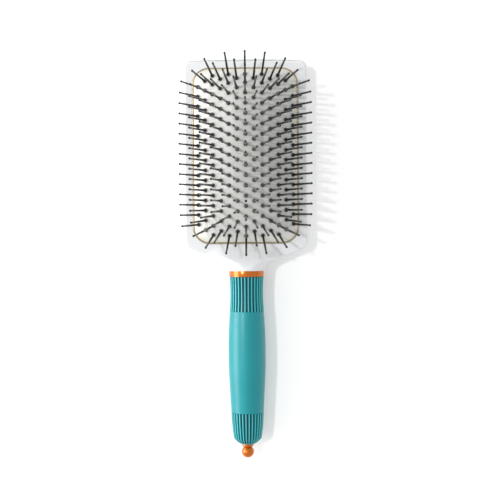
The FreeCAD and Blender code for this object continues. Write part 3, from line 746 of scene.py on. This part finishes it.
# %% [markdown]
# Air has to leave the chamber when the cushion is pressed, so a small round vent is cut near the
# neck end. A boolean could cut it, but here a few faces are taken out and their edge is moved
# onto a circle, which keeps the grid clean. Then the outer edge is drawn down into the seat, and
# Solidify gives the skin its thickness and closes it.

# %% Cut the vent and close the cushion
VENT_RADIUS = 0.85
SKIN_WALL = 1.3
SKIRT_DEPTH = 1.2
vent = Vector((0, -30.6))


def from_vent(point):
    return (Vector(point[:2]) / MM - vent).length


choose(cushion)
bpy.ops.object.mode_set(mode="EDIT")
mesh = bmesh.from_edit_mesh(cushion.data)
hole = [face for face in mesh.faces if from_vent(face.calc_center_median()) < VENT_RADIUS]
bmesh.ops.delete(mesh, geom=hole, context="FACES")
for vertex in mesh.verts:
    if vertex.is_boundary and from_vent(vertex.co) < 2 * VENT_RADIUS:
        spoke = (Vector(vertex.co[:2]) / MM - vent).normalized() * VENT_RADIUS + vent
        vertex.co.xy = spoke * MM
bmesh.update_edit_mesh(cushion.data)
bpy.ops.mesh.select_all(action="DESELECT")
bpy.ops.mesh.select_non_manifold()
mesh = bmesh.from_edit_mesh(cushion.data)
for edge in mesh.edges:
    if edge.select and from_vent(edge.verts[0].co) < 2 * VENT_RADIUS:
        edge.select = False
mesh.select_flush(False)
bmesh.update_edit_mesh(cushion.data)
bpy.ops.mesh.extrude_edges_move(TRANSFORM_OT_translate={"value": (0, 0, -SKIRT_DEPTH * MM)})
bpy.ops.object.mode_set(mode="OBJECT")
apply_modifier(cushion, "SOLIDIFY", thickness=SKIN_WALL * MM, offset=-1)
settle(cushion)
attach(cushion, "brush")
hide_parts("cushion_pad")
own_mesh(cushion)
print("cushion faces:", len(cushion.data.polygons))

# %% [markdown]
# The rubber is a pearly light grey. It turns cream towards its edge, where it is thinnest, and is
# a little darker in the dimples round the pins: painted dust together with painted shade from the
# pin collars. Both follow the numbers stored on the mesh, so they stay in place when the cushion
# is pressed.

# %% Finish of the cushion
rubber = Finish("pearl_rubber", Specular_IOR_Level=0.45, Coat_Roughness=0.3)
edge = (1 - rubber.ramp(rubber.painted("edge_gap"), 0.0, 5.0)) ** 2.0
# painted shade and dust: the grey is darkened close to each pin, where the collars shade the
# rubber
dust_and_shade = 1 - rubber.ramp(rubber.painted("pin_gap"), 1.2, 2.4)
grey = rubber.mix(rubber.noise(45.0, 4.0), colour(0.65, 0.655, 0.625), colour(0.71, 0.715, 0.68))
dusty_and_shaded = rubber.mix(dust_and_shade * 0.35, grey, colour(0.45, 0.45, 0.43))
rubber.feed("Base Color", rubber.mix(edge * 0.75, dusty_and_shaded, colour(0.56, 0.53, 0.42)))
rubber.feed("Roughness", rubber.ramp(rubber.noise(120.0), 0.3, 0.7, 0.34, 0.5))
rubber.feed("Coat Weight", 0.15)
rubber.bump(rubber.noise(1600.0, 4.0), 0.00005, 0.5)
dress(cushion, rubber)

# %% [markdown]
# ## The pins
# One pin is turned like a chess pawn: a profile is spun about the upright axis. There are
# hundreds, so it has only a few dozen faces. Stacked cylinders and a ball would do too, but
# would leave faces inside it.

# %% Model one pin
PIN_SIDES = 6
pin_profile = [
    (0.0, -3.16), (1.6, -3.16), (0.75, -2.36), (0.75, 0.1), (1.5, 0.3), (1.25, 1.4),
    (0.76, 2.2), (0.62, 20.0), (0.87, 20.5), (0.66, 21.2), (0.0, 21.5),
]


def turned_pin():
    """Spins the profile into one pin, standing on the origin."""
    deselect()
    bpy.ops.mesh.primitive_circle_add(vertices=len(pin_profile), radius=MM)
    pin = named("pin")
    bpy.ops.object.mode_set(mode="EDIT")
    mesh = bmesh.from_edit_mesh(pin.data)
    mesh.verts.ensure_lookup_table()
    for vertex, (out, up) in zip(mesh.verts, pin_profile):
        vertex.co = (out * MM, 0, up * MM)
    closing = [edge for edge in mesh.edges if all(v.co.x < 1e-7 for v in edge.verts)]
    bmesh.ops.delete(mesh, geom=closing, context="EDGES_FACES")
    bmesh.update_edit_mesh(pin.data)
    bpy.ops.mesh.select_all(action="SELECT")
    bpy.ops.mesh.spin(steps=PIN_SIDES, angle=2 * math.pi, center=(0, 0, 0), axis=(0, 0, 1))
    bpy.ops.mesh.select_all(action="SELECT")
    bpy.ops.mesh.remove_doubles(threshold=0.01 * MM)
    bpy.ops.mesh.normals_make_consistent(inside=False)
    bpy.ops.object.mode_set(mode="OBJECT")
    bpy.ops.object.shade_smooth_by_angle(angle=math.radians(55))
    return pin


master = turned_pin()
print("faces on a pin:", len(master.data.polygons))

# %% [markdown]
# The pins are glossy black nylon. Black plastic is judged by its shine, so the colour hardly
# changes and the gloss drifts a little.

# %% Finish of the pins
black = Finish("black_pins", Specular_IOR_Level=0.6, Coat_Roughness=0.08)
black.feed("Base Color", black.mix(black.noise(70.0), colour(0.006, 0.006, 0.007),
                                   colour(0.016, 0.016, 0.018)))
black.feed("Roughness", black.ramp(black.noise(400.0), 0.3, 0.7, 0.2, 0.32))
black.feed("Coat Weight", 0.3)
black.bump(black.noise(2500.0, 2.0), 0.000005, 0.3)
print("finish:", black.material.name)

# %% [markdown]
# A copy of the pin goes to every place and leans with the rubber. Pins at about the same height
# sink together when the cushion is pressed, so each such zone is joined into one piece that
# rides on its own body. Single pins could ride alone, but hundreds of bodies would be slow.

# %% Stand the pins in the cushion
zone_names = ("rim_pins", "edge_pins", "border_pins", "outer_pins",
              "shoulder_pins", "middle_pins", "inner_pins", "crown_pins")
heights = [foot.z for foot, _ in pins]
zones = {name: [] for name in zone_names}
for foot, way in pins:
    share = (foot.z - min(heights)) / (max(heights) - min(heights))
    name = zone_names[min(int(share * len(zone_names)), len(zone_names) - 1)]
    zones[name].append((foot, way))

for name, group in zones.items():
    copies = []
    for foot, way in group:
        copy = master.copy()
        copy.data = master.data.copy()
        bpy.context.collection.objects.link(copy)
        turn = way.to_track_quat("Z", "Y").to_matrix().to_4x4()
        copy.data.transform(Matrix.Translation(foot * MM) @ turn)
        copies.append(copy)
    deselect()
    for copy in copies:
        copy.select_set(True)
    bpy.context.view_layer.objects.active = copies[0]
    bpy.ops.object.join()
    zone = named(f"{name}_set")
    dress(zone, black)
    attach(zone, name.replace("_pins", "_zone"))
    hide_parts(name)
    low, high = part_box(name)
    print(name, len(group), "pins, frame top", round(high[2] / MM, 2))
bpy.data.objects.remove(master)

# %% [markdown]
# ## The grip
# A soft sleeve over a hard core. Its two ends are cut into thirty ribs, and the dark core shows
# between them. Sixty slots could be cut by booleans, which is slow and leaves ragged edges. So
# the sleeve is drawn with rings close together, and each point is put at the grip's swelling
# outline, or lower where it is in a slot. Five arcs give the outline.

# %% Outline of the grip
def arc_radius(along, first, middle, last):
    """The radius at places along the handle, on the circle through three points."""
    (x1, y1), (x2, y2), (x3, y3) = first, middle, last
    scale = 2 * (x1 * (y2 - y3) + x2 * (y3 - y1) + x3 * (y1 - y2))
    s1, s2, s3 = x1 ** 2 + y1 ** 2, x2 ** 2 + y2 ** 2, x3 ** 2 + y3 ** 2
    centre_x = (s1 * (y2 - y3) + s2 * (y3 - y1) + s3 * (y1 - y2)) / scale
    centre_y = (s1 * (x3 - x2) + s2 * (x1 - x3) + s3 * (x2 - x1)) / scale
    radius = math.hypot(x1 - centre_x, y1 - centre_y)
    side = math.copysign(1, y2 - centre_y)
    return centre_y + side * np.sqrt(np.maximum(radius ** 2 - (along - centre_x) ** 2, 0))


GRIP_START = 80.5
RIBS_END = 103.7
SWELL_END = 146.225
PALM_END = 171.2
HEEL = 188.4
SLOTS_END = 190.9
HANDLE_END = 192.2
grip_arcs = [
    ((GRIP_START, 11.35), (92.1, 10.85), (RIBS_END, 11.4)),
    ((RIBS_END, 11.4), (125.3, 12.35), (SWELL_END, 12.15)),
    ((SWELL_END, 12.15), (160.4, 11.375), (PALM_END, 10.8)),
    ((PALM_END, 10.8), (179.8, 10.325), (HEEL, 9.25)),
    ((HEEL, 9.25), (190.3, 7.55), (HANDLE_END, 4.95)),
]


def grip_radius(along):
    """The sleeve's radius at places along the handle."""
    radius = np.zeros(len(along))
    for first, middle, last in grip_arcs:
        inside = (along >= first[0]) & (along <= last[0])
        radius[inside] = arc_radius(along[inside], first, middle, last)
    return radius


print("grip radius at its ends:", grip_radius(np.array([GRIP_START, HANDLE_END])).round(2))

# %% [markdown]
# A slot is deepest along its middle and has slightly rounded shoulders. The rings stand closer
# together where the slots begin and end, so that those ends come out round.

# %% Slots between the ribs
RIBS = 30
SIDES = RIBS * 14
SLEEVE_WALL = 1.3
SLOT_SINK = 0.35
SLOT_HALF = 0.58
LAST_SLOT_HALF = 0.42
SHOULDER_INSIDE = 0.1
SHOULDER_WIDTH = 0.3
stations = np.concatenate([
    np.linspace(GRIP_START, 100.5, 30), np.linspace(100.9, 105.0, 18),
    np.linspace(106.5, 168.0, 50), np.linspace(169.4, 174.5, 22),
    np.linspace(175.2, 187.2, 26), np.linspace(187.5, HANDLE_END, 26),
])
angles = np.linspace(0, 2 * math.pi, SIDES, endpoint=False)


def slot_depth(along, angle):
    """How deep the slots are at a place: 0 on a rib, 1 in a slot, with rounded shoulders."""
    radius = grip_radius(np.array([along]))[0]
    pitch = 2 * math.pi / RIBS
    across = np.abs((angle + pitch / 2) % pitch - pitch / 2) * radius
    if along < SWELL_END:
        half = SLOT_HALF
        past = max(along - (RIBS_END - half), 0)
    else:
        half = np.interp(along, [PALM_END, SLOTS_END], [SLOT_HALF, LAST_SLOT_HALF])
        past = max((PALM_END + half) - along, along - (SLOTS_END - half), 0)
    gap = np.hypot(across, past) - half
    return 1 - smooth_step((gap + SHOULDER_INSIDE) / SHOULDER_WIDTH)


print("rings along the grip:", len(stations), "points round it:", SIDES)

# %% [markdown]
# The outer rings are followed by the inner ones, back to the start, and the last ring is merged
# with the first. That makes one closed tube with a real wall, which Solidify would also give,
# but not with a smooth bore behind the slots.

# %% Model the sleeve
LIP_LENGTH = 0.5
LIP_ROUND = 0.25
BORE_GAP = 0.05
rings = []
for along in stations:
    radius = grip_radius(np.array([along]))[0]
    near_end = min(along - GRIP_START, LIP_LENGTH) / LIP_LENGTH
    soft_end = LIP_ROUND * (1 - math.sqrt(max(1 - (1 - near_end) ** 2, 0)))
    depth = slot_depth(along, angles) * (SLEEVE_WALL + SLOT_SINK)
    out = radius - depth - soft_end
    rings.append(np.column_stack([np.sin(angles) * out, np.full(SIDES, -along),
                                  AXIS_HEIGHT + np.cos(angles) * out]))
inner = []
for along in (HANDLE_END, HEEL, PALM_END, SWELL_END, RIBS_END, 92.1, GRIP_START):
    bore = grip_radius(np.array([along]))[0] - SLEEVE_WALL - SLOT_SINK - BORE_GAP
    out = np.full(SIDES, bore)
    inner.append(np.column_stack([np.sin(angles) * out, np.full(SIDES, -along),
                                  AXIS_HEIGHT + np.cos(angles) * out]))


def closed_loft(name, rings):
    """A ring-by-ring skin whose last ring meets its first."""
    piece = loft(name, rings + rings[:1])
    choose(piece)
    bpy.ops.object.mode_set(mode="EDIT")
    bpy.ops.mesh.select_all(action="DESELECT")
    mesh = bmesh.from_edit_mesh(piece.data)
    caps = [face for face in mesh.faces if len(face.verts) > 4]
    bmesh.ops.delete(mesh, geom=caps, context="FACES_ONLY")
    bmesh.update_edit_mesh(piece.data)
    bpy.ops.mesh.select_all(action="SELECT")
    bpy.ops.mesh.remove_doubles(threshold=0.005 * MM)
    bpy.ops.object.mode_set(mode="OBJECT")
    return piece


sleeve = closed_loft("soft_sleeve", rings + inner)
settle(sleeve)
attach(sleeve, "brush")
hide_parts("grip_sleeve")
print("sleeve triangles:", sum(len(face.vertices) - 2 for face in sleeve.data.polygons))

# %% [markdown]
# The grip has soft-touch paint: a clear turquoise with a velvet gloss and a very fine grain.
# The ribs' crests are painted paler, a painted highlight where the light catches their tops. A
# pattern of stripes could draw that, but it would have to match the ribs. So each point stores
# how near it is to a crest.

# %% Finish of the grip
RIB_FADE = 0.6
CREST_DEPTH = 0.35
places = points_of(sleeve)
along = np.clip(-places[:, 1], GRIP_START, HANDLE_END)
sunk = grip_radius(along) - np.hypot(places[:, 0], places[:, 2] - AXIS_HEIGHT)
ribbed = np.maximum(RIBS_END - along, np.minimum(along - PALM_END, SLOTS_END - along))
# painted highlight: how near each point is to a rib crest, which is drawn paler
crest_highlights = smooth_step(ribbed / RIB_FADE) * (1 - smooth_step(sunk / CREST_DEPTH))
paint(sleeve, "crest_highlight", crest_highlights)

turquoise = Finish("turquoise_grip", Specular_IOR_Level=0.38, Coat_Roughness=0.25)
crest_highlight = turquoise.painted("crest_highlight")
paint_tone = turquoise.mix(turquoise.noise(35.0), colour(0.0, 0.225, 0.255),
                           colour(0.001, 0.255, 0.285))
# painted highlight: the crests are mixed towards a pale turquoise
turquoise.feed("Base Color", turquoise.mix(crest_highlight * 0.75, paint_tone, colour(0.085, 0.48, 0.51)))
turquoise.feed("Roughness", turquoise.ramp(turquoise.noise(140.0), 0.3, 0.7, 0.36, 0.46))
turquoise.feed("Coat Weight", 0.2)
turquoise.bump(turquoise.noise(2200.0, 3.0), 0.00004, 0.4)
dress(sleeve, turquoise)

# %% [markdown]
# ## The parts that keep their CAD shape
# Rings, collar, knob, pick, screw and washer are turned or moulded parts whose CAD shape is
# already right, so modelling them again would gain nothing and they only need a finish. The
# core is matt dark plastic. The trim is anodised orange and gold: a metal shader with a thin
# clear coat gives its deep colour and its small bright highlights. Its fine turning marks run
# round the part, because the noise is squeezed along the handle.

# %% Finishes of the core and the trim
teal = Finish("dark_teal_core", Specular_IOR_Level=0.4)
teal.feed("Base Color", teal.mix(teal.noise(50.0), colour(0.002, 0.055, 0.07),
                                 colour(0.004, 0.08, 0.095)))
teal.feed("Roughness", teal.ramp(teal.noise(160.0), 0.3, 0.7, 0.42, 0.58))
teal.bump(teal.noise(1800.0), 0.00003, 0.4)

orange = Finish("orange_trim", Metallic=0.6, Coat_Roughness=0.08)
turning = orange.noise(1.0, 3.0, orange.stretched((300.0, 2200.0, 300.0)))
orange.feed("Base Color", orange.mix(turning, colour(0.50, 0.115, 0.006),
                                     colour(0.58, 0.15, 0.010)))
orange.feed("Roughness", orange.ramp(turning, 0.3, 0.7, 0.2, 0.3))
orange.feed("Coat Weight", 0.25)
orange.bump(turning, 0.00002, 0.3)

gold = Finish("gold_trim", Metallic=0.9, Coat_Roughness=0.1)
gold.feed("Base Color", gold.mix(gold.noise(90.0), colour(0.40, 0.32, 0.19),
                                 colour(0.50, 0.41, 0.26)))
gold.feed("Roughness", gold.ramp(gold.noise(300.0), 0.3, 0.7, 0.25, 0.4))
gold.bump(gold.noise(1500.0), 0.00002, 0.3)

print("finishes:", teal.material.name, orange.material.name, gold.material.name)

# %% [markdown]
# The parts that show only when the pick is drawn out, or never, still get a finish of their own.
# The pick is drawn steel with marks along its length, the screw and washer are dull zinc plate,
# and the O-ring is black rubber.

# %% Finishes of the hidden parts
steel = Finish("polished_steel", Metallic=1.0)
drawn = steel.noise(1.0, 2.0, steel.stretched((2500.0, 120.0, 2500.0)))
steel.feed("Base Color", steel.mix(drawn, colour(0.62, 0.62, 0.64), colour(0.74, 0.74, 0.75)))
steel.feed("Roughness", steel.ramp(drawn, 0.3, 0.7, 0.14, 0.26))
steel.bump(drawn, 0.00001, 0.3)

zinc = Finish("plated_steel", Metallic=1.0)
zinc.feed("Base Color", zinc.mix(zinc.noise(400.0), colour(0.50, 0.50, 0.46),
                                 colour(0.66, 0.66, 0.62)))
zinc.feed("Roughness", zinc.ramp(zinc.noise(700.0), 0.3, 0.7, 0.28, 0.45))
zinc.bump(zinc.noise(2500.0), 0.00002, 0.3)

seal = Finish("black_rubber", Specular_IOR_Level=0.4)
seal.feed("Base Color", seal.mix(seal.noise(500.0), colour(0.012, 0.012, 0.012),
                                 colour(0.025, 0.025, 0.025)))
seal.feed("Roughness", seal.ramp(seal.noise(900.0), 0.3, 0.7, 0.5, 0.65))
seal.bump(seal.noise(3000.0), 0.00002, 0.4)

cad_finishes = {
    "retaining_ring": gold, "neck_ring": orange, "handle_core": teal, "end_collar": orange,
    "pick_knob": orange, "pick_pin": steel, "pick_oring": seal,
    "tang_screw": zinc, "screw_washer": zinc,
}
for node, finish in cad_finishes.items():
    dress(frame["nodes"][node], finish)
print("finished CAD parts:", len(cad_finishes))
